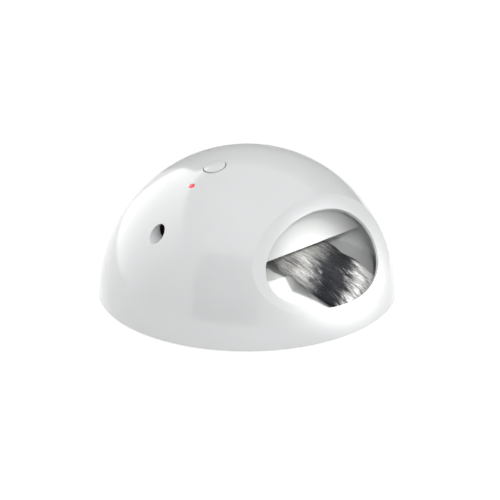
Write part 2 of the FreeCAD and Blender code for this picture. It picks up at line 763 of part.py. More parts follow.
def idler_pin():
    """The idler's axle, from the housing floor up into the bracket."""
    shaft = cylinder("pin_shaft", "pin_radius", "%s - %s - seat_gap" % (BRACKET_TOP, HOUSING_FLOOR),
                     x=IDLER_X, y=IDLER_Y, z=HOUSING_FLOOR + " + seat_gap")
    step = cylinder("pin_step", "pin_radius + 1", "gear_lift - 2 * seat_gap", x=IDLER_X, y=IDLER_Y,
                    z=HOUSING_FLOOR + " + seat_gap")
    return fuse("idler_pin", shaft, step)


def legs():
    return [(sx, sy) for sx in ("left", "right") for sy in ("front", "back")]


def motor_bracket():
    """The plate over the gears that carries the motor and steadies the spindle and the idler's pin."""
    x0, x1 = "(-bracket_left)", "bracket_right"
    y0, y1 = "(-bracket_front)", "bracket_back"
    solids = [block("bracket_plate", "bracket_left + bracket_right", "bracket_front + bracket_back",
                    "bracket_thickness", x=x0, y=y0, z=BRACKET_HEIGHT)]
    for i, (sx, sy) in enumerate(legs()):
        x = x0 + " + leg_radius" if sx == "left" else x1 + " - leg_radius"
        y = y0 + " + leg_radius" if sy == "front" else y1 + " - leg_radius"
        solids.append(cylinder("bracket_leg%d" % i, "leg_radius", "%s - %s" % (BRACKET_HEIGHT, HOUSING_FLOOR),
                               x=x, y=y, z=HOUSING_FLOOR))
    below = BRACKET_HEIGHT + " - 5"
    holes = [cylinder("bracket_spindle_hole", "spindle_radius + running_gap", "20", z=below),
             cylinder("bracket_pin_hole", "pin_radius + running_gap", "20", x=IDLER_X, y=IDLER_Y, z=below),
             cylinder("bracket_shaft_hole", "motor_shaft_radius + 1", "20", x=MOTOR_X, y=IDLER_Y, z=below)]
    return cut("motor_bracket", fuse("bracket_stock", *solids), *holes)


def drive_motor():
    can = cylinder("motor_can", "motor_radius", "motor_length", x=MOTOR_X, y=IDLER_Y, z=BRACKET_TOP)
    shaft = cylinder("motor_shaft", "motor_shaft_radius", "20", x=MOTOR_X, y=IDLER_Y, z=GEAR_BOTTOM + " + 0.2")
    cap = cylinder("motor_cap", "0.45 * motor_radius", "1.6", x=MOTOR_X, y=IDLER_Y,
                   z=BRACKET_TOP + " + motor_length")
    return fuse("drive_motor", can, shaft, cap)


def mechanism_housing():
    """The channel across the dome whose flat sides hide the works, open under the dome's roof."""
    full = "2 * ball_radius"
    outside = block("housing_outside", "2 * housing_half_width", full, full, x="-housing_half_width",
                    y="-ball_radius", z="housing_bottom")
    inside = block("housing_inside", "2 * (housing_half_width - housing_wall)", full, full,
                   x="housing_wall - housing_half_width", y="-ball_radius", z=HOUSING_FLOOR)
    channel = common("housing_channel", cut("housing_walls", outside, inside),
                     ball("housing_ball", "ball_radius - wall - fit_gap"))
    solids = [channel]
    holes = [cylinder("neck_hole", "rotor_radius + neck_gap", "20", z="housing_bottom - 5")]
    for i, (x, y) in enumerate(post_places()):
        solids.append(cylinder("housing_pad%d" % i, "pad_radius", "housing_wall + post_pad", x=x, y=y,
                               z="housing_bottom"))
        holes.append(cylinder("housing_screw_hole%d" % i, "screw_radius + fit_gap", "20", x=x, y=y,
                              z="housing_bottom - 5"))
        holes.append(cylinder("housing_head_hole%d" % i, "head_radius + fit_gap",
                              "head_height + screw_sink + 5", x=x, y=y, z="housing_bottom - 5"))
    for i, side in enumerate((-1, 1)):
        middle = "board_y + %d * (0.5 * board_length - 0.5 * guide_length + 1)" % side
        solids.append(centred_block("board_guide%d" % i, "guide_width", "guide_length", "guide_height",
                                    x=BOARD_X, y=middle, z=HOUSING_FLOOR))
    holes.append(centred_block("board_slot", "board_thickness + 2 * board_gap", "board_length + 2 * board_gap",
                               "2 * guide_height", x=BOARD_X, y="board_y", z=HOUSING_FLOOR + " + 1.5"))
    return cut("mechanism_housing", fuse("housing_stock", *solids), *holes)


PAN_Y = "(-%s)" % PAN_SETBACK
POST_TOP = "(laser_height - barrel_radius - 3)"


def pan_post():
    """The fixed upright that the laser's carriage turns on."""
    return turned("pan_post", [("0", HOUSING_FLOOR), ("post_foot", HOUSING_FLOOR),
                               ("post_foot", GEAR_BOTTOM + " - seat_gap"),
                               ("pan_post_radius", GEAR_BOTTOM + " - seat_gap"),
                               ("pan_post_radius", POST_TOP), ("0", POST_TOP)], y=PAN_Y)


def laser_carriage():
    """The panning carriage: a gear, a hub and a saddle round the laser's barrel."""
    wheel = gear("carriage_gear", "pan_teeth", 0.5 * size("pan_post_radius"), size("servo_bearing"), "0",
                 PAN_Y)
    saddle_bottom = "(laser_height - barrel_radius - 2)"
    hub = cylinder("carriage_hub", "hub_radius", "%s - %s + 0.5" % (saddle_bottom, GEAR_BOTTOM), y=PAN_Y,
                   z=GEAR_BOTTOM)
    saddle = block("carriage_saddle", "2 * barrel_radius + 4", "saddle_length", "2 * barrel_radius + 4",
                   x="-barrel_radius - 2", y=PAN_Y + " - 0.6 * saddle_length", z=saddle_bottom)
    bore = cylinder("carriage_bore", "pan_post_radius + running_gap",
                    "%s - %s + 1.3" % (POST_TOP, GEAR_BOTTOM), y=PAN_Y, z=GEAR_BOTTOM + " - 1")
    seat = along_y("barrel_seat", "barrel_radius + running_gap", "4 * saddle_length", "0",
                   PAN_Y + " - 2 * saddle_length", "laser_height")
    return cut("laser_carriage", fuse("carriage_stock", wheel, hub, saddle), bore, seat)


BARREL_FRONT = "(-%s + 1.0)" % BORE_END


def laser_barrel():
    """The brass barrel, open in front for its lens."""
    body = along_y("barrel_body", "barrel_radius", "barrel_length", "0", BARREL_FRONT, "laser_height")
    mouth = along_y("barrel_mouth", "lens_radius + running_gap", "lens_thickness + 1.5", "0",
                    BARREL_FRONT + " - 0.5", "laser_height")
    beam = along_y("barrel_beam", "lens_radius - 0.6", "0.6 * barrel_length", "0", BARREL_FRONT,
                   "laser_height")
    return cut("laser_barrel", body, mouth, beam)


def laser_lens():
    return along_y("laser_lens", "lens_radius", "lens_thickness", "0", BARREL_FRONT + " + 0.8", "laser_height")


def servo_pinion():
    gap = size("servo_bearing") + 180 + 180 / size("servo_teeth")
    return gear("servo_pinion", "servo_teeth", size("servo_shaft_radius") + size("running_gap"), gap,
                SERVO_X, SERVO_Y)


def pan_servo():
    """The small servo over its pinion, on a foot that stands on the housing floor."""
    bottom = "(%s + servo_clear)" % GEAR_TOP
    body = centred_block("servo_body", "servo_width", "servo_length", "servo_height", x=SERVO_X,
                         y=SERVO_Y + " + 0.15 * servo_length", z=bottom)
    shaft = cylinder("servo_shaft", "servo_shaft_radius", "%s - %s + 1" % (bottom, GEAR_BOTTOM), x=SERVO_X,
                     y=SERVO_Y, z=GEAR_BOTTOM + " + 0.2")
    foot = centred_block("servo_foot", "4", "servo_foot", "%s - %s + 1" % (bottom, HOUSING_FLOOR),
                         x=SERVO_X + " + 0.5 * gear_module * servo_teeth + 4.6", y=SERVO_Y, z=HOUSING_FLOOR)
    shelf = centred_block("servo_shelf", "10", "servo_foot", "1.6",
                          x=SERVO_X + " + 0.5 * gear_module * servo_teeth + 1.6", y=SERVO_Y, z=bottom)
    return fuse("pan_servo", body, shaft, foot, shelf)


def control_board():
    return centred_block("control_board", "board_thickness", "board_length", "board_height", x=BOARD_X,
                         y="board_y", z=HOUSING_FLOOR + " + 1.5 + board_gap")


BOARD_FACE = "(%s + 0.5 * board_thickness)" % BOARD_X
BOARD_MIDDLE = "(%s + 1.5 + board_gap + 0.6 * board_height)" % HOUSING_FLOOR


def on_board(name, rise, length, height, y):
    """A block soldered to the inner face of the control board."""
    return block(name, rise, length, height, x=BOARD_FACE, y=y, z=BOARD_MIDDLE + " - 0.5 * (%s)" % height)


def controller_chip():
    return on_board("controller_chip", "chip_height", "chip_length", "chip_width",
                    "board_y - 0.5 * chip_length")


def capacitor():
    return cylinder("capacitor", "capacitor_radius", "capacitor_length", x=BOARD_FACE, y="board_y + 18",
                    z=BOARD_MIDDLE, axis=(0, 1, 0), angle="90")


def lead_socket():
    return on_board("lead_socket", "socket_height", "socket_length", "socket_width", "board_y - 22")


def on_switch_board(distance):
    return leaning("button_lean", BOARD_TOP + " + " + distance)


def switch_board():
    """The small board under the button, held by two stakes from the dome's roof."""
    board = block("switch_board_plate", "2 * stake_x + 5", "switch_board_width", "board_thickness",
                  **leaning("button_lean", BOARD_TOP + " - board_thickness", "-stake_x - 2.5"))
    bind(board, Width="switch_board_width")
    slide = "0.5 * switch_board_width"
    board.setExpression("Placement.Base.y", formula("-(%s - board_thickness) * sin(button_lean * 1 deg)"
                        " - %s * cos(button_lean * 1 deg)" % (BOARD_TOP, slide)))
    board.setExpression("Placement.Base.z", formula("%s + (%s - board_thickness) * cos(button_lean * 1 deg)"
                        " - %s * sin(button_lean * 1 deg)" % (CENTRE, BOARD_TOP, slide)))
    holes = [cylinder("stake_hole%d" % i, "stake_pin_radius + 0.1", "8",
                      **leaning("button_lean", BOARD_TOP + " - 5", side + "stake_x"))
             for i, side in enumerate(("-", ""))]
    return cut("switch_board", board, *holes)


def tact_switch():
    body = cylinder("switch_body", "switch_radius", "switch_height", **on_switch_board("0.05"))
    plunger = cylinder("switch_plunger", "plunger_radius", "switch_height + plunger_height",
                       **on_switch_board("0.05"))
    return fuse("tact_switch", body, plunger)


STEM_END = "(%s + switch_height + plunger_height + 0.15 + button_travel)" % BOARD_TOP
FLANGE_TOP = "(sqrt((ball_radius - wall) ^ 2 - flange_reach ^ 2) - fit_gap)"


def button_cap():
    """The white key: a crowned face in the hole, a flange behind the dome and a stem to the switch."""
    flange_bottom = "(%s - button_flange)" % FLANGE_TOP
    key = cylinder("key", "button_radius", "ball_radius + button_rise - %s" % flange_bottom,
                   **leaning("button_lean", flange_bottom))
    crown = place(DOC.addObject("Part::Sphere", "key_crown"),
                  **leaning("button_lean", "ball_radius + button_rise - crown_radius"))
    bind(crown, Radius="crown_radius")
    flange = cylinder("key_flange", "flange_reach", "button_flange", **leaning("button_lean", flange_bottom))
    stem = cylinder("key_stem", "stem_radius", "%s - %s + 0.5" % (flange_bottom, STEM_END),
                    **leaning("button_lean", STEM_END))
    return fuse("button_cap", common("key_face", key, crown), flange, stem)


def button_spring():
    """The return spring round the stem, drawn as the sleeve that its turns fill."""
    start = "0.3"
    height = "%s - button_flange - button_travel - %s - 0.6" % (FLANGE_TOP, BOARD_TOP)
    return cut("button_spring", cylinder("return_outside", "return_radius", height, **on_switch_board(start)),
               cylinder("return_inside", "return_radius - return_wire", height, **on_switch_board(start)))


LAMP_START = "(ball_radius - lamp_sink - lamp_length)"


def status_lamp():
    """A small red lamp with a domed tip and a collar."""
    body = cylinder("lamp_body", "lamp_radius", "lamp_length - lamp_radius",
                    **leaning("lamp_lean", LAMP_START))
    tip = place(DOC.addObject("Part::Sphere", "lamp_tip"),
                **leaning("lamp_lean", LAMP_START + " + lamp_length - lamp_radius"))
    bind(tip, Radius="lamp_radius")
    collar = cylinder("lamp_collar", "lamp_radius + 0.35", "1", **leaning("lamp_lean", LAMP_START))
    return fuse("status_lamp", body, tip, collar)


def lamp_holder():
    """The collar that holds the lamp against the back of the dome."""
    height = "sqrt((ball_radius - wall) ^ 2 - holder_radius ^ 2) - 0.1 - %s - 1.1" % LAMP_START
    return cut("lamp_holder", cylinder("holder_outside", "holder_radius", height,
                                       **leaning("lamp_lean", LAMP_START + " + 1.1")),
               cylinder("holder_inside", "lamp_radius + running_gap", height,
                        **leaning("lamp_lean", LAMP_START + " + 1.1")))


MAKERS = [dome_shell, base_plate, rubber_feet, battery_door, battery_cells, cell_springs, cell_contacts,
          base_screws, mechanism_housing, housing_screws, spindle, thrust_washer, rotor_bush, tail_rotor,
          tail_gear, tail_stub, fur_tail, motor_bracket, drive_motor, motor_pinion, idler_gear, idler_pin,
          pan_post, laser_carriage, laser_barrel, laser_lens, pan_servo, servo_pinion, control_board,
          controller_chip, capacitor, lead_socket, switch_board, tact_switch, button_cap, button_spring,
          status_lamp, lamp_holder]


def check(parts):
    """Stops before anything is written if an object failed or a piece has no sound solid."""
    failed = [o.Name for o in DOC.Objects if "Invalid" in o.State or "Error" in o.State]
    if failed:
        raise RuntimeError("failed objects: " + ", ".join(failed))
    for part in parts:
        if part.Shape.isNull() or not part.Shape.isValid() or not part.Shape.Solids:
            raise RuntimeError(part.Label + " has no sound solid")


def main():
    fill_sheet()
    parts = [make() for make in MAKERS]
    DOC.recompute()
    check(parts)
    os.makedirs("parts", exist_ok=True)
    for part in parts:
        part.Shape.exportStep("parts/%s.step" % part.Label)
        print("%-18s %2d solids %9.1f mm3" % (part.Label, len(part.Shape.Solids), part.Shape.Volume))


main()
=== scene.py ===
# %% [markdown]
# # A dome toy with a fur tail and a panning laser
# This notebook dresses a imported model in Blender. The construction is already there, at its real
# size in metres, so the first step is to load it. Nothing of it is moved. Each later step adds a
# finish, or a piece that the plain model only stands in for, such as the fur.

# %% Load the model
import json
import math
import random

import bmesh
import bpy
from mathutils import Matrix, Vector


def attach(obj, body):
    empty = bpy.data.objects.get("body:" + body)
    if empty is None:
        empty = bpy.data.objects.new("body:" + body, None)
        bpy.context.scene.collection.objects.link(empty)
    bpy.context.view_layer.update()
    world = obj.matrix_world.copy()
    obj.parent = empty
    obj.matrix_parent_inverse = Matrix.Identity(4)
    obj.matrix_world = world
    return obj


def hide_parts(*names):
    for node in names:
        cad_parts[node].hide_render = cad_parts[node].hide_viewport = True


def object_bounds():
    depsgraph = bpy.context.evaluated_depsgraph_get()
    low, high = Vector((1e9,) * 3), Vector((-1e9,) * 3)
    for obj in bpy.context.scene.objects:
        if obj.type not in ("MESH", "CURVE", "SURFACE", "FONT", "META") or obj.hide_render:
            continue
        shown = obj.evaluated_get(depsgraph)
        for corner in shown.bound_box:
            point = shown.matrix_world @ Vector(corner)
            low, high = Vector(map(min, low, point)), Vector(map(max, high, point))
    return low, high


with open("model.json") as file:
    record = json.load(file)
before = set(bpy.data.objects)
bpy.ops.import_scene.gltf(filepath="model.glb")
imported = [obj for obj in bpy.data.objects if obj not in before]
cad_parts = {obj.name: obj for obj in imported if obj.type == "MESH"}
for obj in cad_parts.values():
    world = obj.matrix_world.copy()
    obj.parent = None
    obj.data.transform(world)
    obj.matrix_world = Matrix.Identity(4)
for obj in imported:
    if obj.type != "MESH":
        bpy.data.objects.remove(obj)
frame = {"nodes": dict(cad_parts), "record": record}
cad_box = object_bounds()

nodes = frame["nodes"]
scene = bpy.context.scene
MM = 0.001
box_text = [tuple(round(c, 4) for c in corner) for corner in cad_box]
print("loaded", len(nodes), "nodes; the box is", box_text)

# %% [markdown]
# ## The camera
# The photograph looks at the dome from its front right, a little from above. A photographer keeps
# well back from a product, so the lens is long. A camera can be placed by its coordinates, but its
# azimuth, elevation and distance from the point at the middle of the picture are easier to read
# and to change. The same helper places the lamps and cards of the studio later.

# %% Camera
CAMERA_AZIMUTH = 46.1
CAMERA_ELEVATION = 22.81
CAMERA_DISTANCE = 0.810
CAMERA_TARGET = Vector((0.00117, 0.00122, 0.0232))
CAMERA_NEAR = 0.01
FOCAL_PIXELS = 1356.2
FRAME_PIXELS = 500
SENSOR_WIDTH = 36.0


def direction_to(azimuth, elevation):
    """The direction towards a viewer, from degrees: azimuth 0 stands in front of the dome, on -Y."""
    turn = math.radians(azimuth)
    rise = math.radians(elevation)
    flat = math.cos(rise)
    return Vector((math.sin(turn) * flat, -math.cos(turn) * flat, math.sin(rise)))


def add_object(name, data):
    """A new object that holds the data, in the scene."""
    made = bpy.data.objects.new(name, data)
    scene.collection.objects.link(made)
    return made


def stand_off(thing, target, azimuth, elevation, distance):
    """Puts a camera, lamp or card at a distance from the target, and turns it to face the target."""
    direction = direction_to(azimuth, elevation)
    thing.location = target + direction * distance
    thing.rotation_euler = direction.to_track_quat("Z", "Y").to_euler()
    return thing


camera_data = bpy.data.cameras.new("camera")
camera_data.sensor_width = SENSOR_WIDTH
camera_data.lens = FOCAL_PIXELS / FRAME_PIXELS * SENSOR_WIDTH
camera_data.clip_start = CAMERA_NEAR
camera = add_object("camera", camera_data)
scene.camera = stand_off(camera, CAMERA_TARGET, CAMERA_AZIMUTH, CAMERA_ELEVATION, CAMERA_DISTANCE)
print("lens", round(camera_data.lens, 1), "mm, camera at", tuple(round(c, 3) for c in camera.location))

# %% [markdown]
# ## Helpers for materials
# Every finish here is a small node tree. In most of them a noise drives the colour, the roughness
# and a bump. Such a tree can be drawn by hand in the shader editor. With a helper for each kind of
# node, a whole finish takes only a few lines. The noises use Object coordinates, which are in
# metres and stay with the piece, so each noise has its real size.

# %% Material helpers


def start_material(name, roughness=0.5, **inputs):
    """A new material with its shader; inputs are set on the shader's own sockets."""
    material = bpy.data.materials.new(name)
    material.use_nodes = True
    shader = material.node_tree.nodes["Principled BSDF"]
    shader.inputs["Roughness"].default_value = roughness
    for key, value in inputs.items():
        shader.inputs[key.replace("_", " ")].default_value = value
    return material, shader


def add_node(material, kind, **settings):
    """A new node in the tree of a material or of the world."""
    node = material.node_tree.nodes.new(kind)
    for key, value in settings.items():
        setattr(node, key, value)
    return node


def wire(material, source, target):
    """Joins an output to an input."""
    material.node_tree.links.new(source, target)


def noise(material, size, detail=3.0, squeeze=(1, 1, 1)):
    """A noise with blobs about `size` metres across, made `squeeze` times shorter along each axis."""
    place = add_node(material, "ShaderNodeTexCoord")
    mapping = add_node(material, "ShaderNodeMapping")
    mapping.inputs["Scale"].default_value = squeeze
    pattern = add_node(material, "ShaderNodeTexNoise")
    pattern.inputs["Scale"].default_value = 1.0 / size
    pattern.inputs["Detail"].default_value = detail
    wire(material, place.outputs["Object"], mapping.inputs["Vector"])
    wire(material, mapping.outputs["Vector"], pattern.inputs["Vector"])
    return pattern.outputs["Fac"]


def ramp(material, source, stops):
    """Turns a pattern into colours: stops are (position, colour)."""
    node = add_node(material, "ShaderNodeValToRGB")
    while len(node.color_ramp.elements) < len(stops):
        node.color_ramp.elements.new(0.5)
    for element, (position, colour) in zip(node.color_ramp.elements, stops):
        element.position = position
        element.color = (*colour, 1.0)
    wire(material, source, node.inputs["Fac"])
    return node.outputs["Color"]


NOISE_LOW = 0.3
NOISE_HIGH = 0.7


def spread(material, source, low, high):
    """Maps a pattern to a range of numbers, such as a roughness."""
    node = add_node(material, "ShaderNodeMapRange")
    node.inputs["From Min"].default_value = NOISE_LOW
    node.inputs["From Max"].default_value = NOISE_HIGH
    node.inputs["To Min"].default_value = low
    node.inputs["To Max"].default_value = high
    wire(material, source, node.inputs["Value"])
    return node.outputs["Result"]


def bump(material, shader, source, height):
    """Raises the surface by up to `height` metres where the pattern is high."""
    node = add_node(material, "ShaderNodeBump")
    node.inputs["Distance"].default_value = height
    node.inputs["Strength"].default_value = 1.0
    wire(material, source, node.inputs["Height"])
    wire(material, node.outputs["Normal"], shader.inputs["Normal"])


def cloudy(material, pattern, colour, change):
    """The colour, a little darker where the pattern is low and a little lighter where it is high."""
    dark = tuple(c * (1 - change) for c in colour)
    light = tuple(min(1.0, c * (1 + change)) for c in colour)
    return ramp(material, pattern, [(NOISE_LOW, dark), (NOISE_HIGH, light)])


print("material helpers ready")

# %% [markdown]
# ## Moulded plastic
# The dome is injection-moulded ABS. The tool is polished, so the outside is glossy, but a real
# moulding is never a perfect mirror: it has a faint waviness, a little variation in gloss, and a
# trace of orange peel. One function makes all the plastics, from the polished dome to the black
# chip, by changing the colour, gloss and depth of the grain.

# %% Plastic finishes
BROAD_CLOUDS = 30 * MM
COAT_ROUGHNESS = 0.06


def plastic(name, colour, roughness, grain_size, grain_height, coat=0.0, change=0.02):
    """A moulded plastic: its grain's size and height are in metres."""
    material, shader = start_material(name, roughness, Coat_Weight=coat, Coat_Roughness=COAT_ROUGHNESS)
    broad = noise(material, BROAD_CLOUDS, 2.0)
    wire(material, cloudy(material, broad, colour, change), shader.inputs["Base Color"])
    fine = noise(material, grain_size, 4.0)
    wire(material, spread(material, fine, roughness * 0.85, roughness * 1.15), shader.inputs["Roughness"])
    bump(material, shader, fine, grain_height)
    return material


finishes = {
    "white_gloss": plastic("abs_polished", (0.80, 0.81, 0.815), 0.16, 0.004, 0.000008,
                           coat=0.5, change=0.008),
    "white_satin": plastic("abs_satin", (0.80, 0.81, 0.80), 0.38, 0.0006, 0.000015, change=0.012),
    "grey_plastic": plastic("plastic_grey", (0.09, 0.095, 0.10), 0.45, 0.0004, 0.00003, change=0.06),
    "black_plastic": plastic("plastic_black", (0.012, 0.012, 0.014), 0.4, 0.0003, 0.00002, change=0.15),
    "nylon": plastic("nylon_natural", (0.72, 0.69, 0.60), 0.42, 0.0005, 0.00002, change=0.03),
    "grey_rubber": plastic("rubber_grey", (0.30, 0.31, 0.31), 0.75, 0.0003, 0.00004, change=0.05),
    "green_board": plastic("solder_mask", (0.015, 0.10, 0.035), 0.3, 0.0012, 0.00003, change=0.2),
    "cell_jacket": plastic("cell_jacket", (0.02, 0.03, 0.05), 0.28, 0.002, 0.00001, change=0.1),
}
print("plastics:", sorted(finishes))

# %% [markdown]
# ## Metals
# A zinc-plated screw, a drawn can and a turned brass barrel differ in colour and in the direction of
# their marks. The barrel's colour is nearly black: painted shade of the deep bore it sits in. The
# marks could be cut into the mesh, but they are finer than a hair. A noise squeezed along one axis
# makes the same fine lines that drawing and turning leave.

# %% Metal finishes
MARK_SIZE = 1.2 * MM
MARK_HEIGHT = 0.01 * MM


def metal(name, colour, roughness, squeeze=(1, 1, 30)):
    """A metal with fine marks, thin along the axis that is squeezed."""
    material, shader = start_material(name, roughness, Metallic=1.0)
    marks = noise(material, MARK_SIZE, 3.0, squeeze)
    wire(material, cloudy(material, marks, colour, 0.1), shader.inputs["Base Color"])
    wire(material, spread(material, marks, roughness * 0.7, roughness * 1.3), shader.inputs["Roughness"])
    bump(material, shader, marks, MARK_HEIGHT)
    return material


finishes["zinc_steel"] = metal("zinc_plate", (0.62, 0.63, 0.66), 0.32)
finishes["spring_steel"] = metal("spring_steel", (0.55, 0.55, 0.56), 0.28, (1, 20, 1))
finishes["bronze"] = metal("sintered_bronze", (0.45, 0.26, 0.12), 0.5, (1, 1, 1))
finishes["motor_can"] = metal("drawn_can", (0.58, 0.59, 0.60), 0.35)
# the barrel's brass is coloured nearly black, as painted shade of the deep bore around it
finishes["brass"] = metal("brass_with_painted_bore_shade", (0.06, 0.05, 0.04), 0.4, (1, 25, 1))
print("metals added; finishes so far:", len(finishes))

# %% [markdown]
# ## Lenses
# The lamp is a red-tinted clear resin and the laser's lens is clear. Both are small, so the tint
# carries more than refraction does. The lamp is lit in the photograph. A small lamp object behind
# it would do that, but a weak glow in the resin itself is simpler, and keeps it a saturated red
# inside its dark hole.

# %% Lens finishes
LENS_CLOUD = 1.2 * MM
LENS_RIPPLE = 0.01 * MM
RESIN_IOR = 1.5


def lens(name, colour, glow, roughness=0.12):
    """A tinted clear resin, lit from inside if it has a glow."""
    material, shader = start_material(name, roughness, Transmission_Weight=0.25, IOR=RESIN_IOR,
                                      Coat_Weight=0.6)
    cloud = noise(material, LENS_CLOUD, 2.0)
    tint = cloudy(material, cloud, colour, 0.12)
    wire(material, tint, shader.inputs["Base Color"])
    if glow:
        wire(material, tint, shader.inputs["Emission Color"])
        shader.inputs["Emission Strength"].default_value = glow
    bump(material, shader, cloud, LENS_RIPPLE)
    return material


finishes["red_lens"] = lens("red_resin", (0.85, 0.010, 0.020), 0.8)
finishes["clear_lens"] = lens("clear_resin", (0.75, 0.80, 0.84), 0.0, 0.05)
print("lens finishes added")

# %% [markdown]
# ## Dressing the model
# Each piece of the model names the kind of material that it is made of, called its slot. The
# finishes above are kept under the same names, so one loop dresses every piece. A piece could be
# dressed by hand instead, but then a new piece is easily forgotten. The fur waits for its own step.

# %% Dress the nodes
slot_of = {part["node"]: part["material_slot"] for part in frame["record"]["subparts"]}
for name, node in nodes.items():
    finish = finishes.get(slot_of[name])
    if finish:
        node.data.materials.clear()
        node.data.materials.append(finish)
print("dressed", sum(slot_of[name] in finishes for name in nodes), "of", len(nodes), "nodes")

# %% [markdown]
# ## The fur tail: its path
# The tail is a strip of long fur. It leaves the rotor at the middle of the toy, crosses the battery
# drum, and droops outwards onto the floor of the dome, where it spreads into a fan. Real fur like
# this is a hide with hairs that grow from it. Hair curves would be the usual tool, but this model
# has to be plain meshes, so the hairs are thin three-sided spikes.
#
# First comes the path. Six stations give the middle of the strip, its half width, and how high its
# underside and its back are. Everything in between is a smooth blend of them.

# %% Tail path
TAIL_STATIONS = [
    # share of length, x, y, half width, underside z, back z, in millimetres
    (0.00, 7.5, 12.5, 14.5, 17.0, 31.5),
    (0.18, 18.5, 19.0, 24.0, 16.8, 31.0),
    (0.36, 30.5, 24.5, 26.0, 14.0, 26.5),
    (0.55, 42.0, 28.5, 23.0, 7.5, 20.0),
    (0.75, 54.5, 28.5, 22.0, 5.0, 14.5),
    (1.00, 69.0, 26.5, 20.5, 4.6, 9.5),
]
# past the last station the path runs straight on, this many millimetres for a whole length
BEYOND_TIP = 60.0
WAIST_SHARE = 0.4


def station(share):
    """Middle, direction ahead, half width, underside and back of the tail at a share of its length."""
    inside = min(max(share, 0.0), 1.0)
    for low, high in zip(TAIL_STATIONS, TAIL_STATIONS[1:]):
        if inside <= high[0]:
            break
    part = (inside - low[0]) / (high[0] - low[0])
    x, y, half, under, back = (a + (b - a) * part for a, b in zip(low[1:], high[1:]))
    ahead = Vector((high[1] - low[1], high[2] - low[2], 0)).normalized()
    middle = Vector((x, y, 0)) + ahead * max(0.0, share - 1.0) * BEYOND_TIP
    return middle, ahead, half, under, back


def tail_point(share, turn, lift=0.0):
    """A point on the tail's skin: turn 0 is its left flank from the root, 0.5 its back, 1 the right."""
    middle, ahead, half, under, back = station(share)
    left = Vector((-ahead.y, ahead.x, 0))
    angle = math.pi * turn
    waist = under + WAIST_SHARE * (back - under)
    rise = back - waist if math.sin(angle) > 0 else waist - under
    sideways = (half + lift) * math.cos(angle)
    up = waist + (rise + lift) * math.sin(angle)
    return (middle + left * sideways + Vector((0, 0, up))) * MM


print("tail path of", len(TAIL_STATIONS), "stations")

# %% [markdown]
# ## The hide under the fur
# A closed body fills the middle of the tail, so that no gap between the hairs shows the floor. A
# curve with a bevel could make it, but its section changes along the way, so it is a chain of rings
# joined by faces, with a pole at both ends. It stays a little inside the hairs.

# %% Tail core
CORE_RINGS = 22
CORE_SIDES = 28
CORE_END = 0.96
CORE_INSET = 1.6
TAPER_START = 0.8
TAPER = 6.0


def tail_core():
    """The hide as one closed object."""
    work = bmesh.new()
    rings = []
    for i in range(CORE_RINGS):
        share = CORE_END * i / (CORE_RINGS - 1)
        shrink = -CORE_INSET - TAPER * max(0.0, share - TAPER_START)
        ring = [tail_point(share, 2 * k / CORE_SIDES, shrink) for k in range(CORE_SIDES)]
        rings.append([work.verts.new(point) for point in ring])
    for ring, following in zip(rings, rings[1:]):
        for k in range(CORE_SIDES):
            after = (k + 1) % CORE_SIDES
            work.faces.new((ring[k], ring[after], following[after], following[k]))
    for ring in (rings[0], rings[-1]):
        pole = work.verts.new(sum((v.co for v in ring), Vector()) / CORE_SIDES)
        for k in range(CORE_SIDES):
            work.faces.new((ring[k], ring[(k + 1) % CORE_SIDES], pole))
    bmesh.ops.recalc_face_normals(work, faces=work.faces)
    mesh = bpy.data.meshes.new("tail_hide")
    work.to_mesh(mesh)
    work.free()
    mesh.shade_smooth()
    return add_object("tail_hide", mesh)


tail_hide = tail_core()
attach(tail_hide, "tail")
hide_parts("fur_tail")
print("hide:", len(tail_hide.data.vertices), "vertices")

# %% [markdown]
# ## Where the colours go
# The fur has three bands: grey at the root, black in the middle and pale at the tip. A picture
# painted on the mesh could say so, but numbers stored on its points are enough. One number says how
# far along the bands a point is, from its distance to the middle of the toy. The bands' edges
# bow outwards at the flanks, as in the photograph. Another number says how light the fur is there.

# %% Colour bands
# least distance in millimetres, its bearing in degrees, and the bow in millimetres per BOW_ANGLE
DARK_START = (41.0, 28.0, 9.0)
DARK_END = (63.5, 33.0, 6.0)
BOW_ANGLE = 30.0
DARK_FROM = 0.25
DARK_SPAN = 0.5
HIDE_SHADE = 0.35


def band_edge(edge, across):
    """Distance in millimetres of a band's edge, from its least distance, bearing and bow."""
    least, bearing, bow = edge
    return least + bow * abs(across - bearing) / BOW_ANGLE


def band_of(point, shift):
    """How far along the colour bands a point lies: 0 near the root, 1 near the pale tip."""
    across = math.degrees(math.atan2(point.y, point.x))
    reach = math.hypot(point.x, point.y) / MM
    dark_start = band_edge(DARK_START, across)
    dark_end = band_edge(DARK_END, across)
    return DARK_FROM + DARK_SPAN * (reach + shift - dark_start) / (dark_end - dark_start)


bands = tail_hide.data.attributes.new("band", "FLOAT", "POINT")
streaks = tail_hide.data.attributes.new("streak", "FLOAT", "POINT")
for vertex, band, streak in zip(tail_hide.data.vertices, bands.data, streaks.data):
    band.value = band_of(vertex.co, 0.0)
    streak.value = HIDE_SHADE
print("bands on the hide from", round(min(b.value for b in bands.data), 2), "to",
      round(max(b.value for b in bands.data), 2))

# %% [markdown]
# ## The way of one hair
# Each hair is rooted on the skin and leans along the tail, lifting off as it goes. Hairs gather in
# locks: every lock has its own drift and lift, and its hairs share them with small differences,
# drawn from a seeded generator so that each run gives the same fur. That is what gives fur its
# streaks. A hair that would reach the dome's wall is bent back before it, and none goes below the
# floor.

# %% Locks and hair paths
HAIR_STEPS = 5
ROOT_SCATTER = 0.018
ROOT_DEPTH = 1.8
LOCK_PULL = 0.7
UNDERSIDE_LIMIT = 0.25
SAG = 1.2 * MM
FLOOR_TOP = 4.15 * MM
WALL_START = 70.0
WALL_ROOM = 8.0


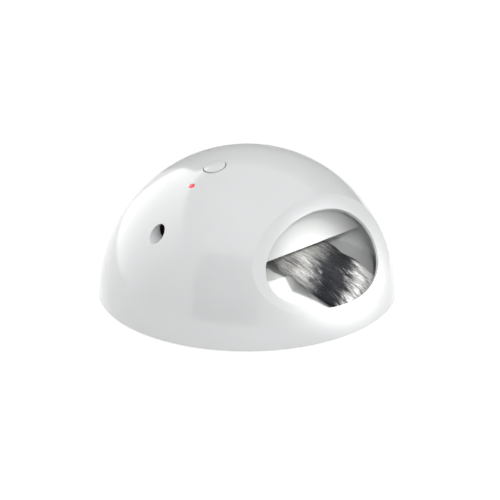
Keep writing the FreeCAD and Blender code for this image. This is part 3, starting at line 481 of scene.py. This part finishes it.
def new_lock(rng):
    """What the hairs of one lock share. Places are shares of the tail, and lifts in millimetres."""
    share = rng.uniform(0.0, 0.93)
    return {
        "share": share,
        "turn": rng.uniform(-0.12, 1.12),
        "length": rng.uniform(0.20, 0.34),
        "lift": rng.uniform(1.0, 2.6),
        "drift": rng.gauss(0, 0.035),
        "fan": rng.uniform(0.05, 0.2) * (0.5 + share),
        "sag": rng.uniform(0.0, 1.5),
        "shade": min(1.0, max(0.0, rng.gauss(0.5, 0.24))),
        "shift": rng.gauss(0, 2.2),
    }


def inside_dome(point):
    """The point, lifted to the floor and drawn in from the dome's wall where it has to be."""
    point.z = max(point.z, FLOOR_TOP)
    reach = math.hypot(point.x, point.y) / MM
    if reach > WALL_START:
        bent = WALL_START + WALL_ROOM * math.tanh((reach - WALL_START) / WALL_ROOM)
        point.x *= bent / reach
        point.y *= bent / reach
    return point


def hair_path(rng, lock):
    """Points along one hair of a lock, from its root."""
    share = lock["share"] + rng.gauss(0, ROOT_SCATTER)
    turn = lock["turn"] + rng.gauss(0, ROOT_SCATTER)
    length = lock["length"] * rng.uniform(0.75, 1.15)
    height = lock["lift"] * rng.uniform(0.6, 1.3)
    points = []
    for step in range(HAIR_STEPS + 1):
        part = step / HAIR_STEPS
        gathered = turn + (lock["turn"] - turn) * LOCK_PULL * part + lock["drift"] * part ** 1.5
        fanned = 0.5 + (gathered - 0.5) * (1 + lock["fan"] * part ** 2)
        fanned = min(max(fanned, -UNDERSIDE_LIMIT), 1 + UNDERSIDE_LIMIT)
        point = tail_point(share + length * part, fanned, -ROOT_DEPTH + height * part ** 1.2)
        point.z -= SAG * part ** 2 * lock["sag"]
        points.append(inside_dome(point))
    return points


print("each hair has", HAIR_STEPS, "steps")

# %% [markdown]
# ## Building the hairs
# A hair is a spike of three sides that thins to a point, closed at its root. Thousands of spikes
# are slow to make face by face with operators, so their corners and faces are listed first and
# turned into a mesh in one go. The fur is split in four meshes to keep each one easy to handle.

# %% Hairs
HAIR_PIECES = 4
LOCKS_PER_PIECE = 420
HAIRS_PER_LOCK = 14
FIRST_SEED = 40
HAIR_RADIUS = (0.00009, 0.00016)
TIP_THINNING = 0.8
SHADE_SCATTER = 0.13
SHIFT_SCATTER = 1.6


def add_spike(points, radius, corners, faces):
    """Adds one hair's corners and faces to the lists."""
    first = len(corners)
    along = (points[-1] - points[0]).normalized()
    side = along.orthogonal()
    for step, point in enumerate(points[:-1]):
        thick = radius * (1 - TIP_THINNING * step / HAIR_STEPS)
        for third in range(3):
            corners.append(point + Matrix.Rotation(third * math.tau / 3, 3, along) @ side * thick)
    corners.append(points[-1])
    for step in range(HAIR_STEPS - 1):
        ring = first + 3 * step
        for third in range(3):
            after = (third + 1) % 3
            faces.append((ring + third, ring + after, ring + 3 + after, ring + 3 + third))
    ring = first + 3 * (HAIR_STEPS - 1)
    faces.extend((ring + third, ring + (third + 1) % 3, ring + 3) for third in range(3))
    faces.append((first + 2, first + 1, first))


def hair_mesh(name, seed):
    """The mesh of one share of the hairs, with its two colour numbers on every point."""
    rng = random.Random(seed)
    corners, faces, bands, streaks = [], [], [], []
    for _ in range(LOCKS_PER_PIECE):
        lock = new_lock(rng)
        for _ in range(HAIRS_PER_LOCK):
            points = hair_path(rng, lock)
            radius = rng.uniform(*HAIR_RADIUS)
            shade = min(1.0, max(0.0, lock["shade"] + rng.gauss(0, SHADE_SCATTER)))
            shift = lock["shift"] + rng.gauss(0, SHIFT_SCATTER)
            add_spike(points, radius, corners, faces)
            for point in points[:-1]:
                bands.extend([band_of(point, shift)] * 3)
            bands.append(band_of(points[-1], shift))
            streaks.extend([shade] * (3 * HAIR_STEPS + 1))
    mesh = bpy.data.meshes.new(name)
    mesh.from_pydata(corners, [], faces)
    mesh.attributes.new("band", "FLOAT", "POINT").data.foreach_set("value", bands)
    mesh.attributes.new("streak", "FLOAT", "POINT").data.foreach_set("value", streaks)
    mesh.shade_smooth()
    return mesh


hair_pieces = []
for number in range(HAIR_PIECES):
    name = "tail_hairs_%d" % number
    hairs = add_object(name, hair_mesh(name, FIRST_SEED + number))
    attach(hairs, "tail")
    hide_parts("fur_tail")
    hair_pieces.append(hairs)
print("hairs:", HAIR_PIECES * LOCKS_PER_PIECE * HAIRS_PER_LOCK,
      "faces:", sum(len(hairs.data.polygons) for hairs in hair_pieces))

# %% [markdown]
# ## Fur colour
# The band number picks the colour through a ramp: grey at the root, nearly black in the middle, and
# pale at the tip. The streak number makes each hair lighter or darker. A soft sheen stands for the
# light that glances off many hairs. A hair shader would work on curves alone, so the plain shader
# is used.

# %% Fur finish
BAND_COLOURS = [
    (0.00, (0.50, 0.495, 0.48)),
    (0.18, (0.46, 0.455, 0.44)),
    (0.26, (0.26, 0.26, 0.26)),
    (0.33, (0.014, 0.015, 0.020)),
    (0.68, (0.010, 0.011, 0.016)),
    (0.73, (0.12, 0.12, 0.12)),
    (0.78, (0.92, 0.92, 0.91)),
]
STREAK_COLOURS = [(0.1, (0.16, 0.16, 0.16)), (0.5, (1, 1, 1)), (0.9, (1.45, 1.45, 1.43))]


def fur_finish():
    """One material for the hide and all the hairs."""
    material, shader = start_material("fur_banded", 0.55, Sheen_Weight=0.15, Sheen_Roughness=0.4)
    shader.inputs["Specular IOR Level"].default_value = 0.3
    band = add_node(material, "ShaderNodeAttribute", attribute_name="band")
    streak = add_node(material, "ShaderNodeAttribute", attribute_name="streak")
    banded = ramp(material, band.outputs["Fac"], BAND_COLOURS)
    streaked = ramp(material, streak.outputs["Fac"], STREAK_COLOURS)
    mix = add_node(material, "ShaderNodeMix", data_type="RGBA", blend_type="MULTIPLY")
    mix.inputs["Factor"].default_value = 1.0
    wire(material, banded, mix.inputs["A"])
    wire(material, streaked, mix.inputs["B"])
    wire(material, mix.outputs["Result"], shader.inputs["Base Color"])
    return material


fur = fur_finish()
for piece in [tail_hide] + hair_pieces:
    piece.data.materials.append(fur)
print("fur finish on", 1 + len(hair_pieces), "pieces")

# %% [markdown]
# ## Studio
# The toy stands on a white table in front of nothing. The floor takes the toy's soft shadow. To a
# camera the floor and the world are plain white, and mirrors and glass see the same white. More
# light would whiten them too, but it would also bleach the toy. Instead they tell the kinds of ray
# apart, and are at full strength only for the rays that see them directly.

# %% Floor and world
FLOOR_HALF = 1.5
FLOOR_WHITE = 0.80
FLOOR_LIFT = 0.75
WORLD_LEVEL = 0.41


def seen_directly(material_or_world):
    """1 for camera, glossy and transmission rays, and 0 for the rest."""
    path = add_node(material_or_world, "ShaderNodeLightPath")
    first = add_node(material_or_world, "ShaderNodeMath", operation="MAXIMUM")
    second = add_node(material_or_world, "ShaderNodeMath", operation="MAXIMUM")
    wire(material_or_world, path.outputs["Is Camera Ray"], first.inputs[0])
    wire(material_or_world, path.outputs["Is Glossy Ray"], first.inputs[1])
    wire(material_or_world, first.outputs[0], second.inputs[0])
    wire(material_or_world, path.outputs["Is Transmission Ray"], second.inputs[1])
    return second.outputs[0]


def make_floor():
    """The table's top, a plain square."""
    mesh = bpy.data.meshes.new("floor")
    work = bmesh.new()
    bmesh.ops.create_grid(work, x_segments=2, y_segments=2, size=FLOOR_HALF)
    work.to_mesh(mesh)
    work.free()
    material, shader = start_material("table_white", 0.6)
    shader.inputs["Base Color"].default_value = (FLOOR_WHITE, FLOOR_WHITE, FLOOR_WHITE, 1)
    shader.inputs["Specular IOR Level"].default_value = 0.1
    shader.inputs["Emission Color"].default_value = (1, 1, 1, 1)
    lift = add_node(material, "ShaderNodeMath", operation="MULTIPLY")
    lift.inputs[1].default_value = FLOOR_LIFT
    wire(material, seen_directly(material), lift.inputs[0])
    wire(material, lift.outputs[0], shader.inputs["Emission Strength"])
    mesh.materials.append(material)
    floor = add_object("floor", mesh)


make_floor()
world = bpy.data.worlds.new("studio")
world.use_nodes = True
scene.world = world
backdrop = world.node_tree.nodes["Background"]
level = add_node(world, "ShaderNodeMapRange")
level.inputs["To Min"].default_value = WORLD_LEVEL
level.inputs["To Max"].default_value = 1.0
wire(world, seen_directly(world), level.inputs["Value"])
wire(world, level.outputs["Result"], backdrop.inputs["Strength"])
backdrop.inputs["Color"].default_value = (1, 1, 1, 1)
scene.view_settings.view_transform = "Standard"
print("floor of", 2 * FLOOR_HALF, "m and a white world")

# %% [markdown]
# ## Lamps
# The white world lights the toy evenly, and four large soft panels give it form. Together they are
# kept at a level where the white plastic stays a little under paper white. The room inside the dome
# would stay dark, because little of that light finds its way in. A stronger panel would bleach the
# outside, so two narrow spots shine through the right opening instead: one from above for the
# floor, and one from the camera's side for the wall. None of these lamps shows in the plastic's
# gloss, because a hard white square there looks unreal.

# %% Panels and spots
STUDIO_CENTRE = Vector((0, 0, 0.03))
OPENING_CENTRE = Vector((0.066, 0.004, 0.030))
SPOT_DISTANCE = 0.9
SPOT_ANGLE = math.radians(3.3)
SPOT_BLEND = 0.6
SPOT_RADIUS = 0.02


def panel(name, azimuth, elevation, distance, width, height, power):
    """A rectangular lamp that faces the dome, in degrees, metres and watts."""
    data = bpy.data.lights.new(name, "AREA")
    data.shape = "RECTANGLE"
    data.size = width
    data.size_y = height
    data.energy = power
    return stand_off(add_object(name, data), STUDIO_CENTRE, azimuth, elevation, distance)


def spot(name, azimuth, elevation, power):
    """A narrow lamp that shines through the right opening."""
    data = bpy.data.lights.new(name, "SPOT")
    data.energy = power
    data.spot_size = SPOT_ANGLE
    data.spot_blend = SPOT_BLEND
    data.shadow_soft_size = SPOT_RADIUS
    return stand_off(add_object(name, data), OPENING_CENTRE, azimuth, elevation, SPOT_DISTANCE)


lamps = [
    panel("front_panel", 62, 27, 0.9, 0.5, 0.5, 1.8),
    panel("top_panel", 20, 75, 1.0, 0.7, 0.7, 2.7),
    panel("left_panel", -50, 25, 1.0, 0.6, 0.6, 1.6),
    panel("right_panel", 110, 35, 1.0, 0.5, 0.5, 1.2),
    spot("floor_spot", 70, 38, 62.0),
    spot("wall_spot", 44, 26, 44.0),
]
for lamp in lamps:
    lamp.visible_glossy = False
print("lamps:", len(lamps))

# %% [markdown]
# ## Cards
# A polished dome mirrors the studio. Photographers shape those reflections with cards: a bright one
# at the left whose glow fades to one side gives the long soft highlight, a black one behind the
# camera darkens the dome a little, most of all in a column near the middle, and one without a glow
# behind the dome greys its upper edge. A panel could make the highlight too, but it would also light
# the toy. The bright card glows for mirror rays alone. The camera doesn't see the cards.

# %% Cards
FADE_START = -0.2
FADE_END = 0.5
FADED_GLOW = 0.6


def mirror_glow(material, shader, width, glow):
    """A glow that only mirror rays see. It fades across a card of the given width."""
    place = add_node(material, "ShaderNodeTexCoord")
    split = add_node(material, "ShaderNodeSeparateXYZ")
    fade = add_node(material, "ShaderNodeMapRange", interpolation_type="SMOOTHSTEP")
    fade.inputs["From Min"].default_value = FADE_START * width
    fade.inputs["From Max"].default_value = FADE_END * width
    fade.inputs["To Min"].default_value = glow
    fade.inputs["To Max"].default_value = FADED_GLOW
    path = add_node(material, "ShaderNodeLightPath")
    mirrored = add_node(material, "ShaderNodeMath", operation="MULTIPLY")
    shader.inputs["Emission Color"].default_value = (1, 1, 1, 1)
    wire(material, place.outputs["Object"], split.inputs["Vector"])
    wire(material, split.outputs["X"], fade.inputs["Value"])
    wire(material, fade.outputs["Result"], mirrored.inputs[0])
    wire(material, path.outputs["Is Glossy Ray"], mirrored.inputs[1])
    wire(material, mirrored.outputs[0], shader.inputs["Emission Strength"])


def card(name, azimuth, elevation, distance, width, height, grey, glow=0.0):
    """A card that the polished dome reflects, in degrees and metres."""
    mesh = bpy.data.meshes.new(name)
    work = bmesh.new()
    bmesh.ops.create_grid(work, x_segments=1, y_segments=1, size=0.5)
    bmesh.ops.scale(work, vec=(width, height, 1), verts=work.verts)
    work.to_mesh(mesh)
    work.free()
    material, shader = start_material(name + "_paper", 0.9)
    shader.inputs["Base Color"].default_value = (grey, grey, grey, 1)
    if glow:
        mirror_glow(material, shader, width, glow)
    mesh.materials.append(material)
    sheet = stand_off(add_object(name, mesh), STUDIO_CENTRE, azimuth, elevation, distance)
    sheet.visible_camera = False
    return sheet


cards = [
    card("bright_card", -64, 24, 1.0, 1.9, 0.98, 0.8, 2.3),
    card("card_behind_camera", 30, 24, 1.2, 1.1, 1.08, 0.03),
    card("card_behind_dome", 210, 22, 0.95, 1.4, 0.82, 0.8),
]
print("cards:", len(cards))
